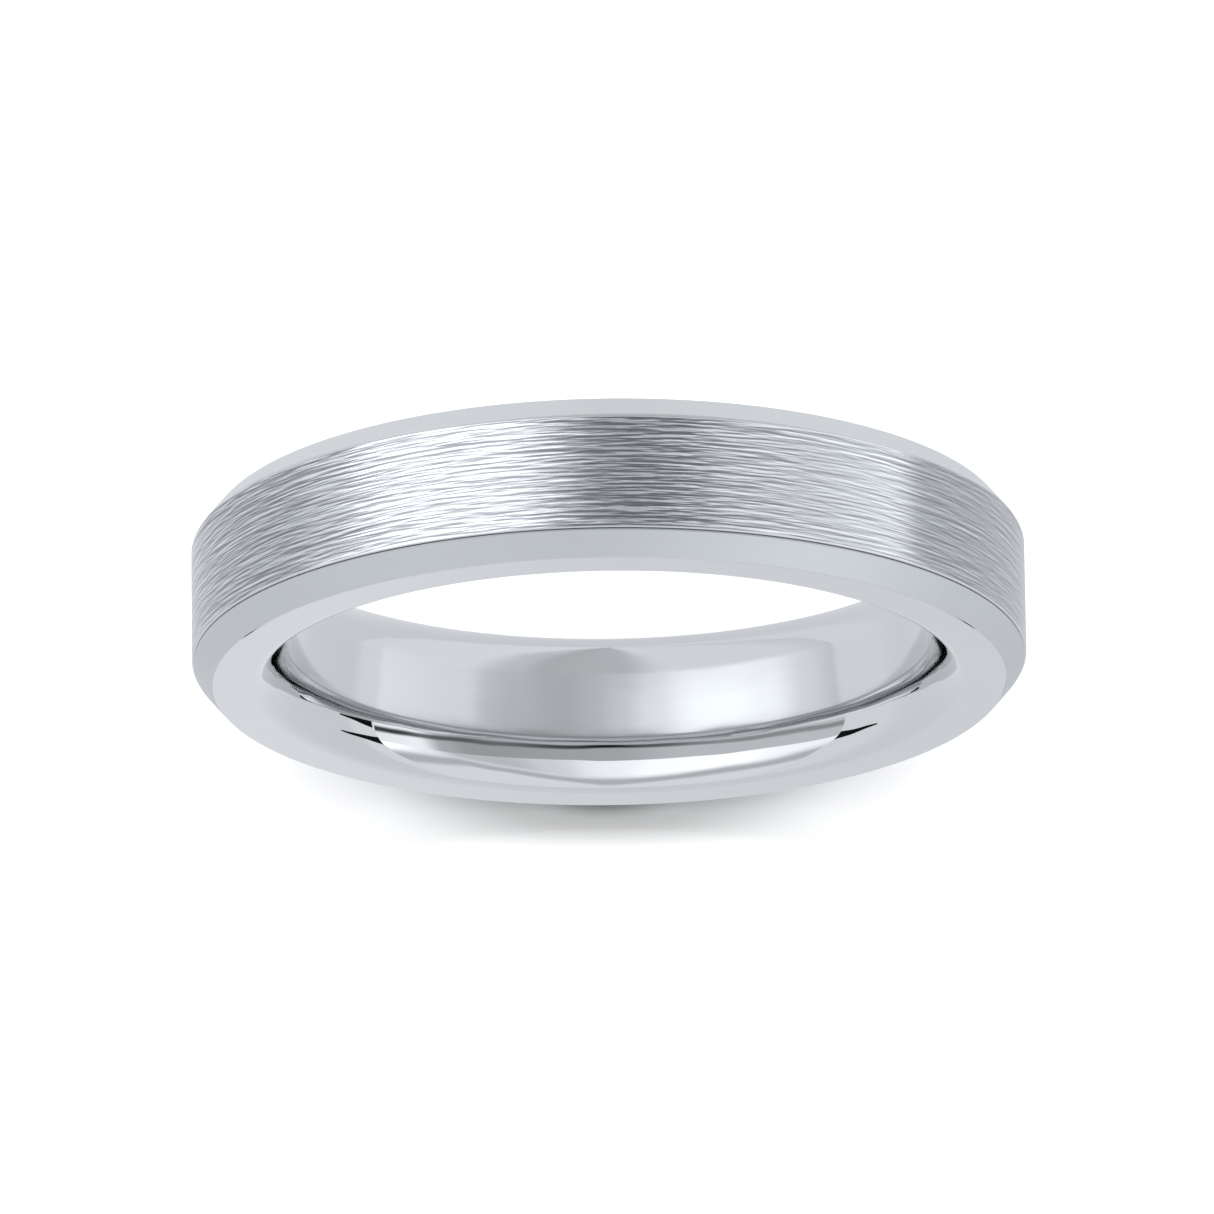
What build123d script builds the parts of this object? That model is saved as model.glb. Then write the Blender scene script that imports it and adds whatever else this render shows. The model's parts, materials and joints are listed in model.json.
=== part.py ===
from build123d import *
import os
from math import cos, radians, sin

# A comfort-fit wedding band built up from turned rings, in millimetres.
# The ring's axis is Y and its centre is the origin, so it stands on its edge with Z up.
# The front of the ring faces -Y. Every profile is drawn as X = radius, Y = place along the axis.

# Driving dimensions
bore_radius = 7.85          # US ring size 5
outer_radius = 10.1
ring_width = 4.0
band_width = 2.8            # the brushed strip between the two bevels
bevel_drop = 0.5            # how far each bevel falls, measured along the radius
seat_radius = 9.15          # where the band and the rear rim sit on the liner
comfort_radius = 1.575      # the curve that eases the bore towards each side face
comfort_angle = 50          # how far round that curve turns, in degrees
lip_round = 0.4             # rounding from the comfort curve into the side face
seam_break = 0.04           # chamfer on each side of a visible seam
edge_round = 0.06           # rounding where a bevel meets its side face
front_pocket = 0.22         # leg of the brazing pocket in the front corner
rear_pocket = 0.16          # leg of the brazing pocket under the rear seam

# Derived sizes
half_width = ring_width / 2
half_band = band_width / 2
side_outer_radius = outer_radius - bevel_drop
lean = radians(comfort_angle)
half_land = half_width - lip_round * (1 - sin(lean)) - comfort_radius * sin(lean)
lip_start = bore_radius + comfort_radius * (1 - cos(lean)) + lip_round * cos(lean)
bevel_run = (half_width - half_band) / bevel_drop


def turned(outline):
    """A solid of revolution about the ring's axis, from a closed outline."""
    return revolve(make_face(outline), Axis.Y, 360)


def rounded_edge(solid, radius, place):
    """Rounds the circular edge that lies at this radius and place along the axis."""
    edges = [
        edge
        for edge in solid.edges().filter_by(GeomType.CIRCLE)
        if abs(edge.radius - radius) < 0.01 and abs(edge.arc_center.Y - place) < 0.01
    ]
    return fillet(edges, edge_round)


def comfort_fit_liner():
    """The sleeve worn on the finger, with the front bevelled rim turned on it in one piece."""
    curve_centre = bore_radius + comfort_radius
    lip_turn = 90 - comfort_angle
    front_lip = CenterArc((lip_start, lip_round - half_width), lip_round, 270, -lip_turn)
    front_curve = CenterArc((curve_centre, -half_land), comfort_radius, 180 + comfort_angle, -comfort_angle)
    rear_curve = CenterArc((curve_centre, half_land), comfort_radius, 180, -comfort_angle)
    rear_lip = CenterArc((lip_start, half_width - lip_round), lip_round, 90 + lip_turn, -lip_turn)
    bore_land = Line(front_curve @ 1, rear_curve @ 0)
    outside = Polyline(
        rear_lip @ 1,
        (seat_radius, half_width),
        (seat_radius, -half_band),
        (outer_radius - seam_break, -half_band),
        (outer_radius - seam_break, -half_band - seam_break * bevel_run),
        (side_outer_radius, -half_width),
        front_lip @ 0,
    )
    inside = front_lip + front_curve + bore_land + rear_curve + rear_lip
    solid = turned(inside + outside)
    return rounded_edge(solid, side_outer_radius, -half_width)


def brushed_center_band():
    """The brushed ring that slides over the liner's seat against the front rim."""
    outline = Polyline(
        (seat_radius + front_pocket, -half_band),
        (outer_radius - seam_break, -half_band),
        (outer_radius, -half_band + seam_break),
        (outer_radius, half_band - seam_break),
        (outer_radius - seam_break, half_band),
        (seat_radius + rear_pocket, half_band),
        (seat_radius, half_band - rear_pocket),
        (seat_radius, -half_band + front_pocket),
        close=True,
    )
    return turned(outline)


def rear_bevel_rim():
    """The closing rim, pushed on from behind so that it traps the brushed band."""
    outline = Polyline(
        (seat_radius + rear_pocket, half_band),
        (outer_radius - seam_break, half_band),
        (outer_radius - seam_break, half_band + seam_break * bevel_run),
        (side_outer_radius, half_width),
        (seat_radius, half_width),
        (seat_radius, half_band + rear_pocket),
        close=True,
    )
    return rounded_edge(turned(outline), side_outer_radius, half_width)


def front_solder_ring():
    """Brazing alloy in the corner between the liner's seat, its rim and the band."""
    outline = Polyline(
        (seat_radius, -half_band),
        (seat_radius + front_pocket, -half_band),
        (seat_radius, -half_band + front_pocket),
        close=True,
    )
    return turned(outline)


def rear_solder_ring():
    """Brazing alloy in the V between the band, the closing rim and the liner's seat."""
    outline = Polyline(
        (seat_radius, half_band - rear_pocket),
        (seat_radius + rear_pocket, half_band),
        (seat_radius, half_band + rear_pocket),
        close=True,
    )
    return turned(outline)


nodes = {
    "comfort_fit_liner": comfort_fit_liner(),
    "brushed_center_band": brushed_center_band(),
    "rear_bevel_rim": rear_bevel_rim(),
    "front_solder_ring": front_solder_ring(),
    "rear_solder_ring": rear_solder_ring(),
}

os.makedirs("parts", exist_ok=True)
for name, solid in nodes.items():
    export_step(solid, f"parts/{name}.step")
    print(name, "volume", round(solid.volume, 2), "mm3")
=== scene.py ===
import json
import math

import bpy
from mathutils import Matrix, Vector


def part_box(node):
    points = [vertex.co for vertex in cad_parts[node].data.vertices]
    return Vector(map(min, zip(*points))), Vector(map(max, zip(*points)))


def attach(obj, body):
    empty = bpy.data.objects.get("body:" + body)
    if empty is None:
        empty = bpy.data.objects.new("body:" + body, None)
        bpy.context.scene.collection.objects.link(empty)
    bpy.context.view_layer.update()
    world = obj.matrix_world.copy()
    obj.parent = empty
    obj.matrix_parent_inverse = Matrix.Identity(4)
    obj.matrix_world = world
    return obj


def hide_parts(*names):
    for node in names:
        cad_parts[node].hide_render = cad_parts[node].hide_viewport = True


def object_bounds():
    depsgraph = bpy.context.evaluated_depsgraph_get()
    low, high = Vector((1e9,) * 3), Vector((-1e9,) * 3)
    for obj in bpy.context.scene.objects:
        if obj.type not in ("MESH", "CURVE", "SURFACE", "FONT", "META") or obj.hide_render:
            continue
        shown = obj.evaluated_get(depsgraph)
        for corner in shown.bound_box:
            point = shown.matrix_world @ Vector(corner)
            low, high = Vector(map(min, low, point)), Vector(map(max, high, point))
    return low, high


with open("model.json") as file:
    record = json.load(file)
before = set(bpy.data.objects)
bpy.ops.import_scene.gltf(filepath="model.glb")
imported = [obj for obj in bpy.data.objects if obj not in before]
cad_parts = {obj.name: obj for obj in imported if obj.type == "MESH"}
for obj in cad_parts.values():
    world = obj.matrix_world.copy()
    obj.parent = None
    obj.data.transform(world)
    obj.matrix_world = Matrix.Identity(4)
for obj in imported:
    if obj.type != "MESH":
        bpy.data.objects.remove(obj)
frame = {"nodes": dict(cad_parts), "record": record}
cad_low, cad_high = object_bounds()

# ---------------------------------------------------------------- sizes, metres
MM = 0.001
OUTER = (cad_high.x - cad_low.x) / 2
HALF_WIDTH = (cad_high.y - cad_low.y) / 2
HALF_BAND = (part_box("brushed_center_band")[1][1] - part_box("brushed_center_band")[0][1]) / 2
BORE = frame["record"]["mounts"][0]["dims"]["r_mm"] * MM
COMFORT = 1.575 * MM            # the curve that eases the bore towards each side face
COMFORT_ANGLE = 50              # how far round it turns, in degrees
LIP_ROUND = 0.4 * MM            # rounding from that curve into the side face
BEVEL_DROP = 0.5 * MM           # radial fall of each bevel
SEAM_BREAK = 0.04 * MM          # softened edge on each side of a visible seam
EDGE_ROUND = 0.06 * MM          # rounding where a bevel meets its side face
SEAT = 9.15 * MM                # where the band and the rear rim sit on the liner
CROWN = 3.0                     # degrees of tilt at each end of the bore's land
LEAN = math.radians(COMFORT_ANGLE)
LIP_SPAN = math.radians(7)      # the end of the comfort curve that is polished without waves
PAINTED_LINE_SPAN = 1.8                 # degrees of the comfort curve that the darker line covers
HALF_LAND = HALF_WIDTH - LIP_ROUND * (1 - math.sin(LEAN)) - COMFORT * math.sin(LEAN)
LIP_START = BORE + COMFORT * (1 - math.cos(LEAN)) + LIP_ROUND * math.cos(LEAN)
SIDE_OUTER = OUTER - BEVEL_DROP
SEGMENTS = 720


# ---------------------------------------------------------------- outlines
def arc(centre, radius, start, end, steps):
    """Points along an arc, angles in degrees from +radius towards +axis."""
    points = []
    for i in range(steps + 1):
        a = math.radians(start + (end - start) * i / steps)
        points.append((centre[0] + radius * math.cos(a), centre[1] + radius * math.sin(a)))
    return points


def rounded(points, radii, steps=5, guard=0.012 * MM):
    """A closed outline with its corners rounded. Each flat keeps a guard point beside its round."""
    out = []
    count = len(points)
    for i, (corner, radius) in enumerate(zip(points, radii)):
        if radius == 0:
            out.append(corner)
            continue
        here = Vector(corner)
        before = (Vector(points[i - 1]) - here).normalized()
        after = (Vector(points[(i + 1) % count]) - here).normalized()
        half = before.angle(after) / 2
        back = radius / math.tan(half)
        centre = here + (before + after).normalized() * (radius / math.sin(half))
        first = here + before * back - centre
        last = here + after * back - centre
        start = math.atan2(first.y, first.x)
        sweep = math.remainder(math.atan2(last.y, last.x) - start, 2 * math.pi)
        out.append(tuple(here + before * (back + guard)))
        for k in range(steps + 1):
            turn = start + sweep * k / steps
            out.append((centre.x + radius * math.cos(turn), centre.y + radius * math.sin(turn)))
        out.append(tuple(here + after * (back + guard)))
    return out


def lathe(name, outline, finishes):
    """A closed solid of revolution about the Y axis, smooth shaded, with a UV map in metres.
    finishes lists (material, test); the last whose test passes for a face's middle is used."""
    count = len(outline)
    lengths = [0.0]
    for i in range(count):
        lengths.append(lengths[-1] + math.dist(outline[i], outline[(i + 1) % count]))
    verts = []
    for j in range(SEGMENTS):
        turn = 2 * math.pi * j / SEGMENTS
        for radius, along in outline:
            verts.append((radius * math.sin(turn), along, radius * math.cos(turn)))
    faces = []
    uvs = []
    for j in range(SEGMENTS):
        ahead = (j + 1) % SEGMENTS
        u0 = 2 * math.pi * OUTER * j / SEGMENTS
        u1 = 2 * math.pi * OUTER * (j + 1) / SEGMENTS
        for i in range(count):
            k = (i + 1) % count
            faces.append((j * count + i, ahead * count + i, ahead * count + k, j * count + k))
            uvs += [(u0, lengths[i]), (u1, lengths[i]), (u1, lengths[i + 1]), (u0, lengths[i + 1])]
    mesh = bpy.data.meshes.new(name)
    mesh.from_pydata(verts, [], faces)
    layer = mesh.uv_layers.new(name="UVMap")
    layer.data.foreach_set("uv", [value for uv in uvs for value in uv])
    mesh.polygons.foreach_set("use_smooth", [True] * len(faces))
    chosen = []
    for i in range(count):
        k = (i + 1) % count
        painted_glow_strength = ((outline[i][0] + outline[k][0]) / 2, (outline[i][1] + outline[k][1]) / 2)
        chosen.append(max(n for n, (_, test) in enumerate(finishes) if test(*painted_glow_strength)))
    for finish, _ in finishes:
        mesh.materials.append(finish)
    mesh.polygons.foreach_set("material_index", chosen * SEGMENTS)
    mesh.update()
    piece = bpy.data.objects.new(name, mesh)
    bpy.context.scene.collection.objects.link(piece)
    return piece


def liner_outline():
    """Bore, both comfort curves with their lips, and the front rim with its bevel."""
    start = 180 + COMFORT_ANGLE
    front = arc((BORE + COMFORT, -HALF_LAND), COMFORT, 180 + CROWN, start, 48)
    front += arc((LIP_START, LIP_ROUND - HALF_WIDTH), LIP_ROUND, start, 270, 24)[1:]
    rear = [(radius, -along) for radius, along in reversed(front)]
    edge_radius, edge = rear[-1]
    sag = edge * math.tan(math.radians(CROWN)) / 2
    land = [
        (edge_radius - sag * (1 - (along / edge) ** 2), along)
        for along in (edge * (1 - k / 12) for k in range(1, 24))
    ]
    rim = rounded(
        [front[-1], (SIDE_OUTER, -HALF_WIDTH), (OUTER, -HALF_BAND), (SEAT, -HALF_BAND)],
        [0, EDGE_ROUND, SEAM_BREAK, 0],
    )
    return rim + [(SEAT, HALF_WIDTH)] + rear + land + front[:-1]


def band_outline():
    """The brushed band, with its two outer edges softened."""
    return rounded(
        [(SEAT, -HALF_BAND), (OUTER, -HALF_BAND), (OUTER, HALF_BAND), (SEAT, HALF_BAND)],
        [0, SEAM_BREAK, SEAM_BREAK, 0],
    )


def rim_outline():
    """The closing rim behind the band."""
    return rounded(
        [(SEAT, HALF_BAND), (OUTER, HALF_BAND), (SIDE_OUTER, HALF_WIDTH), (SEAT, HALF_WIDTH)],
        [0, SEAM_BREAK, EDGE_ROUND, 0],
    )


# ---------------------------------------------------------------- node helper
class Nodes:
    """Short calls for building a node tree."""

    def __init__(self, tree):
        self.tree = tree
        tree.nodes.clear()

    def add(self, kind, **settings):
        node = self.tree.nodes.new(kind)
        for key, value in settings.items():
            setattr(node, key, value)
        return node

    def link(self, source, target):
        self.tree.links.new(source, target)

    def put(self, target, value):
        if isinstance(value, bpy.types.NodeSocket):
            self.link(value, target)
        else:
            target.default_value = value

    def math(self, operation, a, b=0.0, c=0.0):
        node = self.add("ShaderNodeMath", operation=operation)
        for socket, value in zip(node.inputs, (a, b, c)):
            self.put(socket, value)
        return node.outputs[0]

    def ramp(self, value, low, high, out_low=0.0, out_high=1.0):
        """Smooth step of value between low and high."""
        node = self.add("ShaderNodeMapRange", interpolation_type="SMOOTHSTEP")
        for socket, item in zip(node.inputs, (value, low, high, out_low, out_high)):
            self.put(socket, item)
        return node.outputs[0]

    def window(self, value, low, high, soft_low, soft_high):
        """1 between low and high, falling smoothly to 0 outside."""
        rise = self.ramp(value, low - soft_low, low + soft_low)
        fall = self.ramp(value, high - soft_high, high + soft_high, 1.0, 0.0)
        return self.math("MULTIPLY", rise, fall)

    def profile(self, value, stops):
        """A smooth curve through (degrees, radiance) stops, level outside them."""
        scale = self.math("MULTIPLY_ADD", value, 1 / 360, 0.5)
        node = self.add("ShaderNodeValToRGB")
        node.color_ramp.interpolation = "EASE"
        marks = node.color_ramp.elements
        for i, (degrees, radiance) in enumerate(stops):
            mark = marks[i] if i < 2 else marks.new(degrees / 360 + 0.5)
            mark.position = degrees / 360 + 0.5
            mark.color = (radiance / 4, radiance / 4, radiance / 4, 1)
        self.link(scale, node.inputs[0])
        return self.math("MULTIPLY", node.outputs[0], 4)

    def blend(self, under, over, mask):
        """under where mask is 0, over where it is 1."""
        step = self.math("SUBTRACT", over, under)
        return self.math("MULTIPLY_ADD", step, mask, under)


# ---------------------------------------------------------------- materials
def streaks(g, place, length, spacing, detail):
    """Noise drawn out around the ring: length and spacing of its strokes in mm, centred on 0."""
    x, y, z = place
    spot = g.add("ShaderNodeCombineXYZ")
    for socket, value, step in zip(spot.inputs, (x, y, z), (length, spacing, length)):
        g.put(socket, g.math("DIVIDE", value, step * MM))
    noise = g.add("ShaderNodeTexNoise")
    noise.inputs["Scale"].default_value = 1.0
    noise.inputs["Detail"].default_value = detail
    noise.inputs["Roughness"].default_value = 0.6
    g.link(spot.outputs[0], noise.inputs["Vector"])
    return g.math("SUBTRACT", noise.outputs[0], 0.5)


def polished(name, tint, roughness, waviness):
    """Polished metal: faint turning marks in its shade and roughness, and a slightly wavy face.
    waviness is in mm."""
    mat = bpy.data.materials.new(name)
    mat.use_nodes = True
    g = Nodes(mat.node_tree)
    out = g.add("ShaderNodeOutputMaterial")
    skin = g.add("ShaderNodeBsdfPrincipled")
    where = g.add("ShaderNodeTexCoord")
    split = g.add("ShaderNodeSeparateXYZ")
    g.link(where.outputs["Object"], split.inputs[0])
    place = split.outputs[:]
    marks = g.ramp(streaks(g, place, 5.0, 0.06, 2.0), -0.2, 0.2)
    tone = g.add("ShaderNodeMix", data_type="RGBA")
    g.put(tone.inputs[0], marks)
    tone.inputs[6].default_value = (*[0.992 * value for value in tint], 1)
    tone.inputs[7].default_value = (*[1.008 * value for value in tint], 1)
    g.link(tone.outputs[2], skin.inputs["Base Color"])
    if roughness:
        g.put(skin.inputs["Roughness"], g.math("MULTIPLY_ADD", marks, 0.1 * roughness, 0.95 * roughness))
    else:
        skin.inputs["Roughness"].default_value = 0.0
    bump = g.add("ShaderNodeBump")
    bump.inputs["Strength"].default_value = 1.0
    bump.inputs["Distance"].default_value = 1.0
    waves = streaks(g, place, 1.8, 0.7, 1.0)
    g.put(bump.inputs["Height"], g.math("MULTIPLY", waves, waviness * MM))
    g.link(bump.outputs[0], skin.inputs["Normal"])
    skin.inputs["Metallic"].default_value = 1.0
    g.link(skin.outputs[0], out.inputs[0])
    return mat


def scratches(g, place, length, spacing, detail):
    """Streaks less the same streaks a little to one side, so each has a lit and a dark edge. Where it
    sets colour, that lit and dark edge is painted light and painted shade.
    """
    x, y, z = place
    beside = g.math("ADD", y, 0.9 * spacing * MM)
    here = streaks(g, place, length, spacing, detail)
    return g.math("SUBTRACT", here, streaks(g, (x, beside, z), length, spacing, detail))


def brushed(name):
    """Metal brushed around the ring: strokes in its height, its shade and its roughness."""
    stroke_height = 0.012 * MM
    stroke_lean = 0.16
    dark = (0.2, 0.205, 0.22, 1)
    light = (0.65, 0.67, 0.70, 1)
    mat = bpy.data.materials.new(name)
    mat.use_nodes = True
    g = Nodes(mat.node_tree)
    out = g.add("ShaderNodeOutputMaterial")
    skin = g.add("ShaderNodeBsdfPrincipled")
    where = g.add("ShaderNodeTexCoord")
    split = g.add("ShaderNodeSeparateXYZ")
    g.link(where.outputs["Object"], split.inputs[0])
    place = split.outputs[:]
    strokes = scratches(g, place, 1.5, 0.066, 2.0)
    hairs = scratches(g, place, 0.9, 0.035, 1.0)
    mixed = g.math("ADD", g.math("MULTIPLY", strokes, 0.75), g.math("MULTIPLY", hairs, 0.5))
    # painted light and shade: the strokes' contrast is raised near x = 1 mm and lowered towards +x, and
    # their shade darkened near x = 1 mm, for how the light falls across the band; the same weighting
    # also scales their bumps and lean
    painted_shade_zone = g.window(place[0], -0.4 * MM, 2.2 * MM, 0.8 * MM, 0.6 * MM)
    painted_light_weight = g.math("MULTIPLY_ADD", painted_shade_zone, 1.1, g.ramp(place[0], 2.8 * MM, 5.6 * MM, 0.9, 0.42))
    mixed = g.math("SUBTRACT", g.math("MULTIPLY", mixed, painted_light_weight), g.math("MULTIPLY", painted_shade_zone, 0.04))
    shade = g.ramp(mixed, -0.16, 0.2)
    tone = g.add("ShaderNodeMix", data_type="RGBA")
    g.put(tone.inputs[0], shade)
    tone.inputs[6].default_value = dark
    tone.inputs[7].default_value = light
    g.link(tone.outputs[2], skin.inputs["Base Color"])
    g.put(skin.inputs["Roughness"], g.ramp(mixed, -0.2, 0.2, 0.27, 0.22))
    # each stroke also leans a little along the brushing
    around = g.add("ShaderNodeTangent", direction_type="RADIAL", axis="Y")
    flat = g.add("ShaderNodeNewGeometry")
    lean = g.add("ShaderNodeVectorMath", operation="SCALE")
    g.link(around.outputs[0], lean.inputs[0])
    sway = g.math("MULTIPLY", scratches(g, place, 2.0, 0.06, 1.0), painted_light_weight)
    g.put(lean.inputs["Scale"], g.math("MULTIPLY", sway, stroke_lean))
    leaning = g.add("ShaderNodeVectorMath", operation="ADD")
    g.link(flat.outputs["Normal"], leaning.inputs[0])
    g.link(lean.outputs[0], leaning.inputs[1])
    level = g.add("ShaderNodeVectorMath", operation="NORMALIZE")
    g.link(leaning.outputs[0], level.inputs[0])
    bump = g.add("ShaderNodeBump")
    bump.inputs["Strength"].default_value = 1.0
    bump.inputs["Distance"].default_value = 1.0
    g.put(bump.inputs["Height"], g.math("MULTIPLY", mixed, stroke_height))
    g.link(level.outputs[0], bump.inputs["Normal"])
    g.link(bump.outputs[0], skin.inputs["Normal"])
    g.link(around.outputs[0], skin.inputs["Tangent"])
    skin.inputs["Metallic"].default_value = 1.0
    skin.inputs["Anisotropic"].default_value = 0.92
    skin.inputs["Anisotropic Rotation"].default_value = 0.25
    g.link(skin.outputs[0], out.inputs[0])
    return mat


steel = polished("polished_steel", (0.65, 0.655, 0.665), 0.0, 0.012)
# the front bevel's tint is painted darker than the steel's, as painted shade, and the rear bevel's
# lighter, as painted light; their roughness is their own
shaded_front_bevel = polished("polished_bevel_painted_darker", (0.565, 0.58, 0.59), 0.45, 0.0)
lit_rear_bevel = polished("polished_rear_bevel_painted_lighter", (0.70, 0.715, 0.72), 0.4, 0.0)
lip = polished("polished_lip", (0.65, 0.655, 0.665), 0.0, 0.0)
# the edge line's steel is painted darker: a painted dark reflection along the front edge of the bore's
# land
edge = polished("painted_dark_reflection_line", (0.46, 0.47, 0.48), 0.15, 0.0)
bore = polished("polished_bore", (0.645, 0.655, 0.665), 0.1, 0.006)
seam = polished("polished_seam", (0.60, 0.61, 0.62), 0.3, 0.0)
satin = brushed("brushed_steel")


# Each test below says whether a face whose middle is at this radius and place takes a finish.
def everywhere(radius, along):
    return True


def on_bevel(radius, along):
    return radius > SIDE_OUTER and HALF_BAND < abs(along) < HALF_WIDTH


def on_land(radius, along):
    return radius < BORE + COMFORT * (1 - math.cos(math.radians(CROWN)))


def on_seam(radius, along):
    """The rounded edges of the brushed band, which carry no brushing."""
    return SEAT + SEAM_BREAK < radius and HALF_BAND - SEAM_BREAK < abs(along)


def on_lip(radius, along):
    """The last of the front comfort curve, before it turns over into the side face."""
    start = BORE + COMFORT * (1 - math.cos(LEAN - LIP_SPAN))
    return start < radius < LIP_START and -HALF_WIDTH < along < 0


def on_painted_dark_line(radius, along):
    """A fine line painted darker where the land meets the front comfort curve: a painted dark
    reflection.
    """
    if along > 0:
        return False
    start = BORE + COMFORT * (1 - math.cos(math.radians(CROWN)))
    end = BORE + COMFORT * (1 - math.cos(math.radians(CROWN + PAINTED_LINE_SPAN)))
    return start < radius < end


liner = lathe(
    "liner_polished", liner_outline(),
    [(steel, everywhere), (shaded_front_bevel, on_bevel), (lip, on_lip), (bore, on_land), (edge, on_painted_dark_line)],
)
band = lathe("band_brushed", band_outline(), [(satin, everywhere), (seam, on_seam)])
rim = lathe("rim_polished", rim_outline(), [(steel, everywhere), (lit_rear_bevel, on_bevel)])
for piece, node, slot in (
    (liner, "comfort_fit_liner", "polished_metal"),
    (band, "brushed_center_band", "brushed_metal"),
    (rim, "rear_bevel_rim", "polished_rim"),
):
    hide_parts(node)
    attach(piece, "root")
for node in ("front_solder_ring", "rear_solder_ring"):
    for slot in frame["nodes"][node].material_slots:
        slot.material = steel


# ---------------------------------------------------------------- stage
AIR = (0.975, 1.0, 1.035, 1)    # the cool cast of everything the metal reflects


def floor():
    """White floor. Its contact shadow is painted, a darker patch in its own colour under the ring. The
    metal sees the floor instead as a glow with no patch, a painted reflection whose strength falls from
    x = -8 mm to 1 mm and rises again from 13 mm to 24 mm."""
    reach = 60 * OUTER
    shadow_across = 4.0 * MM
    shadow_ahead = 0.95 * MM
    mesh = bpy.data.meshes.new("floor")
    corners = [(-reach, -reach), (reach, -reach), (reach, reach), (-reach, reach)]
    mesh.from_pydata([(x, y, cad_low.z) for x, y in corners], [], [(0, 1, 2, 3)])
    obj = bpy.data.objects.new("floor", mesh)
    bpy.context.scene.collection.objects.link(obj)
    mat = bpy.data.materials.new("floor")
    mat.use_nodes = True
    g = Nodes(mat.node_tree)
    out = g.add("ShaderNodeOutputMaterial")
    skin = g.add("ShaderNodeBsdfPrincipled")
    path = g.add("ShaderNodeLightPath")
    where = g.add("ShaderNodeTexCoord")
    split = g.add("ShaderNodeSeparateXYZ")
    g.link(where.outputs["Object"], split.inputs[0])
    x, y = split.outputs[:2]
    across = g.math("POWER", g.math("DIVIDE", x, shadow_across), 2)
    front = g.math("SUBTRACT", g.math("MULTIPLY", y, -1), HALF_WIDTH - 0.2 * MM)
    behind = g.math("MULTIPLY", g.math("SUBTRACT", y, HALF_WIDTH - 0.8 * MM), 2.5)
    outside = g.math("MAXIMUM", g.math("MAXIMUM", front, behind), 0)
    ahead = g.math("POWER", g.math("DIVIDE", outside, shadow_ahead), 2)
    away = g.math("SQRT", g.math("ADD", across, ahead))
    shade = g.math("ADD", g.ramp(away, 0.0, 0.5, 0.25, 0.53), g.ramp(away, 0.45, 1.5, 0.0, 0.42))
    g.link(shade, skin.inputs["Base Color"])
    skin.inputs["Roughness"].default_value = 0.12
    # painted reflection: for glossy rays the floor is a glow, its strength set along x, in place of its
    # lit colour
    glow = g.add("ShaderNodeEmission")
    glow.inputs["Color"].default_value = AIR
    painted_glow_strength = g.ramp(x, -8 * MM, 1 * MM, 0.955, 0.865)
    g.put(glow.inputs["Strength"], g.blend(painted_glow_strength, 0.98, g.ramp(x, 13 * MM, 24 * MM)))
    mix = g.add("ShaderNodeMixShader")
    g.link(path.outputs["Is Glossy Ray"], mix.inputs[0])
    g.link(skin.outputs[0], mix.inputs[1])
    g.link(glow.outputs[0], mix.inputs[2])
    g.link(mix.outputs[0], out.inputs[0])
    mesh.materials.append(mat)
    return obj


def black():
    """Duvetyne with a faint weave. Only the mirror polish sees it."""
    mat = bpy.data.materials.new("flag_cloth")
    mat.use_nodes = True
    g = Nodes(mat.node_tree)
    out = g.add("ShaderNodeOutputMaterial")
    weave = g.add("ShaderNodeTexNoise")
    weave.inputs["Scale"].default_value = 3000
    cloth = g.add("ShaderNodeEmission")
    g.put(cloth.inputs["Strength"], g.ramp(weave.outputs[0], 0.3, 0.7, 0.0, 0.02))
    path = g.add("ShaderNodeLightPath")
    clear = g.add("ShaderNodeBsdfTransparent")
    mix = g.add("ShaderNodeMixShader")
    g.link(path.outputs["Is Singular Ray"], mix.inputs[0])
    g.link(clear.outputs[0], mix.inputs[1])
    g.link(cloth.outputs[0], mix.inputs[2])
    g.link(mix.outputs[0], out.inputs[0])
    return mat


def flags():
    """Three straight-sided black wedges lying on the floor before the ring. Each spreads from a
    tip, between two headings in degrees off the side, from near to far. Lengths are in mm."""
    cloth = black()
    height = cad_low.z + 0.05 * MM
    for name, side, tip, headings, near, far in (
        ("near_right", 1, (8.0, -2.5), (4, 13), 3.5, 190),
        ("far_right", 1, (6.5, -7.0), (22, 31), 2.5, 440),
        ("far_left", -1, (6.5, -7.0), (22, 31), 2.5, 440),
    ):
        points = []
        for heading, reach in zip(sorted(headings * 2), (near, far, far, near)):
            turn = math.radians(heading)
            across = side * (tip[0] + reach * math.cos(turn))
            points.append((across * MM, (tip[1] - reach * math.sin(turn)) * MM, height))
        lay_flag(name, points, cloth)


def lay_flag(name, points, cloth):
    """One board, which casts no shadow and shows only in the polish."""
    mesh = bpy.data.meshes.new(name)
    mesh.from_pydata(points, [], [tuple(range(len(points)))])
    mesh.materials.append(cloth)
    obj = bpy.data.objects.new("flag_" + name, mesh)
    bpy.context.scene.collection.objects.link(obj)
    obj.visible_camera = False
    obj.visible_diffuse = False
    obj.visible_shadow = False


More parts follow.
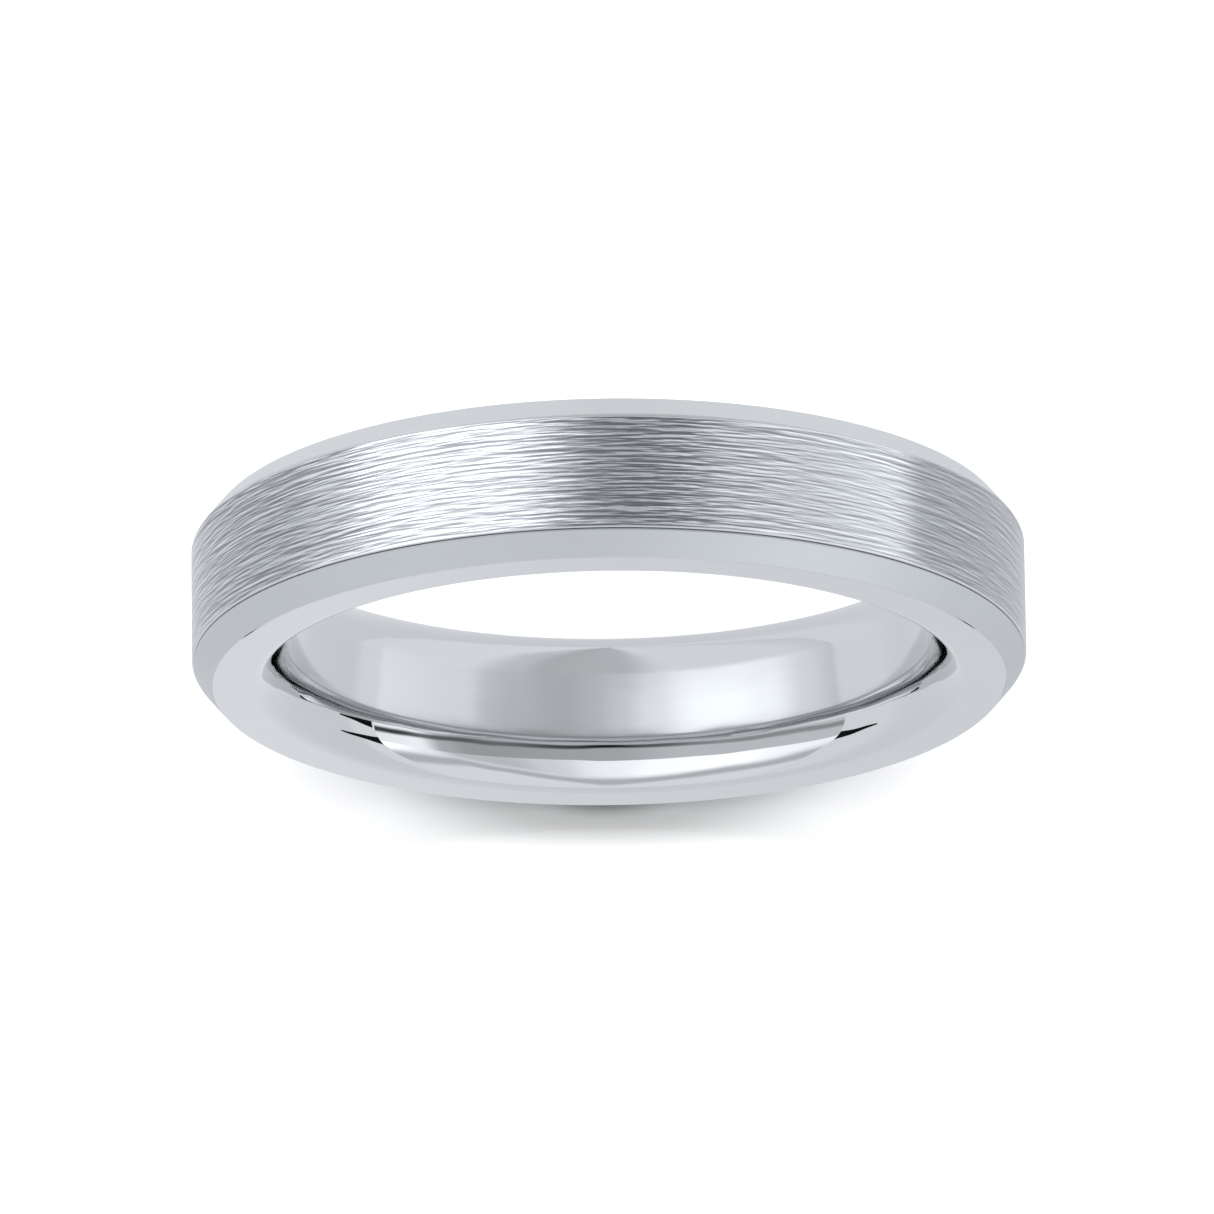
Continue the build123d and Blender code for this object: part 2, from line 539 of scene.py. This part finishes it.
def studio():
    """The surroundings: bands of light and dark for the metal to mirror, an even glow for
    everything else, and plain white behind the ring."""
    world = bpy.data.worlds.new("studio")
    bpy.context.scene.world = world
    world.use_nodes = True
    world.cycles.sampling_method = "NONE"
    g = Nodes(world.node_tree)
    out = g.add("ShaderNodeOutputWorld")
    path = g.add("ShaderNodeLightPath")
    where = g.add("ShaderNodeTexCoord")
    split = g.add("ShaderNodeSeparateXYZ")
    g.link(where.outputs["Generated"], split.inputs[0])
    x, y, z = split.outputs
    side = g.math("DEGREES", g.math("ARCTAN2", x, z))   # from overhead, + to the right
    depth = g.math("DEGREES", g.math("ARCSINE", y))     # - towards the front
    spread = g.math("DIVIDE", g.math("POWER", side, 2), g.math("ADD", g.math("ABSOLUTE", side), 60))
    rise = g.math("MINIMUM", g.math("MULTIPLY", spread, g.ramp(side, -30, 30, 0.54, 1.0)), 30)
    skirt = g.math("SUBTRACT", g.math("ADD", depth, 73), rise)
    low_front = g.ramp(g.math("ABSOLUTE", skirt), 2.0, 9.0, 0.64, 1.0)
    card = g.profile(side, [
        (-120, 1.3), (-90, 1.3), (-72, 1.4), (-50, 1.6), (-20, 1.5), (0, 1.3), (24, 0.92), (40, 0.72),
        (57, 0.74), (70, 1.25), (95, 2.1), (120, 2.1),
    ])
    counter = g.profile(side, [
        (-95, 0.75), (-30, 0.72), (0, 0.54), (50, 0.47), (62, 0.6), (72, 1.3), (92, 1.2),
    ])
    roof = g.profile(side, [
        (-90, 1.2), (-66, 1.0), (-45, 0.7), (-15, 0.56), (30, 0.54), (56, 0.5), (70, 1.2), (90, 0.6),
    ])
    back = g.profile(side, [
        (-92, 0.78), (-76, 1.0), (-60, 1.42), (-45, 1.55), (-33, 1.52), (-15, 1.12), (-5, 0.86),
        (5, 0.69), (15, 0.6), (35, 0.68), (44, 0.75), (52, 1.0), (90, 1.12),
    ])
    high_back = g.profile(side, [
        (-90, 0.84), (-70, 0.96), (-25, 0.97), (-5, 0.66), (24, 0.62), (36, 0.75), (55, 1.0),
    ])
    bow = g.math("POWER", g.math("DIVIDE", side, 100), 2)
    light = g.blend(low_front, card, g.ramp(skirt, 5, 14))
    counter_edge = g.math("SUBTRACT", g.math("ADD", depth, 31), g.math("MULTIPLY", bow, 6))
    light = g.blend(light, counter, g.ramp(counter_edge, -0.6, 0.6))
    light = g.blend(light, roof, g.ramp(depth, -5, -1))
    light = g.blend(light, 0.3, g.window(depth, 10.4, 12.2, 0.4, 0.2))
    light = g.blend(light, back, g.ramp(depth, 12.0, 12.4))
    light = g.blend(light, high_back, g.ramp(depth, 16, 34))
    gap = g.math("ABSOLUTE", g.math("MULTIPLY_ADD", bow, 6, g.math("ADD", depth, 7)))
    depth_of_gap = g.profile(side, [
        (-110, 0.5), (-40, 0.5), (-14, 0.8), (0, 1.0), (16, 0.85), (38, 0.6), (60, 0.75), (80, 0.95),
    ])
    gap = g.math("MULTIPLY", g.ramp(gap, 1.1, 5.2, 1.0, 0.0), depth_of_gap)
    light = g.blend(light, 0.01, gap)
    # the bevels and the bore, which aren't mirror sharp, see one wide front light
    wide = g.profile(side, [
        (-110, 1.08), (-60, 1.06), (0, 0.87), (40, 1.13), (76, 1.38), (110, 1.9), (150, 1.8),
    ])
    blurred = g.math("SUBTRACT", 1.0, path.outputs["Is Singular Ray"])
    light = g.blend(light, wide, g.math("MULTIPLY", g.ramp(depth, -20, -5, 1.0, 0.0), blurred))
    sky = g.add("ShaderNodeBackground")
    sky.inputs["Color"].default_value = AIR
    g.put(sky.inputs["Strength"], light)
    even = g.add("ShaderNodeBackground")
    even.inputs["Color"].default_value = (1, 1, 1, 1)
    even.inputs["Strength"].default_value = 0.9
    white = g.add("ShaderNodeBackground")
    white.inputs["Color"].default_value = (1, 1, 1, 1)
    metal = g.add("ShaderNodeMixShader")
    g.link(path.outputs["Is Glossy Ray"], metal.inputs[0])
    g.link(even.outputs[0], metal.inputs[1])
    g.link(sky.outputs[0], metal.inputs[2])
    view = g.add("ShaderNodeMixShader")
    g.link(path.outputs["Is Camera Ray"], view.inputs[0])
    g.link(metal.outputs[0], view.inputs[1])
    g.link(white.outputs[0], view.inputs[2])
    g.link(view.outputs[0], out.inputs[0])


def soft_box(name, place, size, radiance, diffuse=True, glossy=True, only=None):
    """An area light aimed at the ring. With only, it lights just those pieces."""
    place = Vector(place) * OUTER
    data = bpy.data.lights.new(name, "AREA")
    data.shape = "RECTANGLE"
    data.size, data.size_y = size[0] * OUTER, size[1] * OUTER
    data.energy = radiance * math.pi * data.size * data.size_y
    obj = bpy.data.objects.new(name, data)
    bpy.context.scene.collection.objects.link(obj)
    obj.matrix_world = Matrix.Translation(place) @ place.to_track_quat("Z", "Y").to_matrix().to_4x4()
    obj.visible_camera = False
    obj.visible_diffuse = diffuse
    obj.visible_glossy = glossy
    if only:
        group = bpy.data.collections.new(name + "_receivers")
        for piece in only:
            group.objects.link(piece)
        obj.light_linking.receiver_collection = group
    return obj


def camera():
    """A long lens, looking steeply down at the standing ring from the front."""
    azimuth, elevation, roll = -0.036, 1.2491, 0.0252
    radii_away = 45
    distance = radii_away * OUTER
    picture_side = 1214
    ring_scale = 416.9              # outer radius of the ring in the picture, in its pixels
    slide, drop = 0.0036 * OUTER, 0.0037 * OUTER
    back = Vector((
        math.sin(azimuth) * math.cos(elevation),
        -math.cos(azimuth) * math.cos(elevation),
        math.sin(elevation),
    ))
    right = Vector((math.cos(azimuth), math.sin(azimuth), 0))
    up = back.cross(right)
    right, up = (
        right * math.cos(roll) + up * math.sin(roll),
        up * math.cos(roll) - right * math.sin(roll),
    )
    data = bpy.data.cameras.new("camera")
    data.sensor_width = 36
    data.lens = data.sensor_width * ring_scale * radii_away / picture_side
    data.clip_start = OUTER
    data.clip_end = distance * 4
    obj = bpy.data.objects.new("camera", data)
    bpy.context.scene.collection.objects.link(obj)
    spot = back * distance - right * slide - up * drop
    obj.matrix_world = Matrix.Translation(spot) @ Matrix((right, up, back)).transposed().to_4x4()
    bpy.context.scene.camera = obj


camera()
ground = floor()
flags()
studio()
soft_box("key", (0, 3, 40), (80, 80), 1.22, glossy=False)
soft_box("floor_sheen", (0, 13, 39), (18, 18), 1.0, diffuse=False, only=[ground])
soft_box("band_left", (-33, 16, 35), (60, 49), 1.5, diffuse=False, only=[band])
soft_box("band_edge", (-45, 16, 7), (58, 22), 0.4, diffuse=False, only=[band])
soft_box("band_right", (42, 16, 25), (58, 76), 0.62, diffuse=False, only=[band])
soft_box("band_low_right", (46, 16, -3), (58, 26), 0.3, diffuse=False, only=[band])
bpy.context.scene.view_settings.view_transform = "Standard"
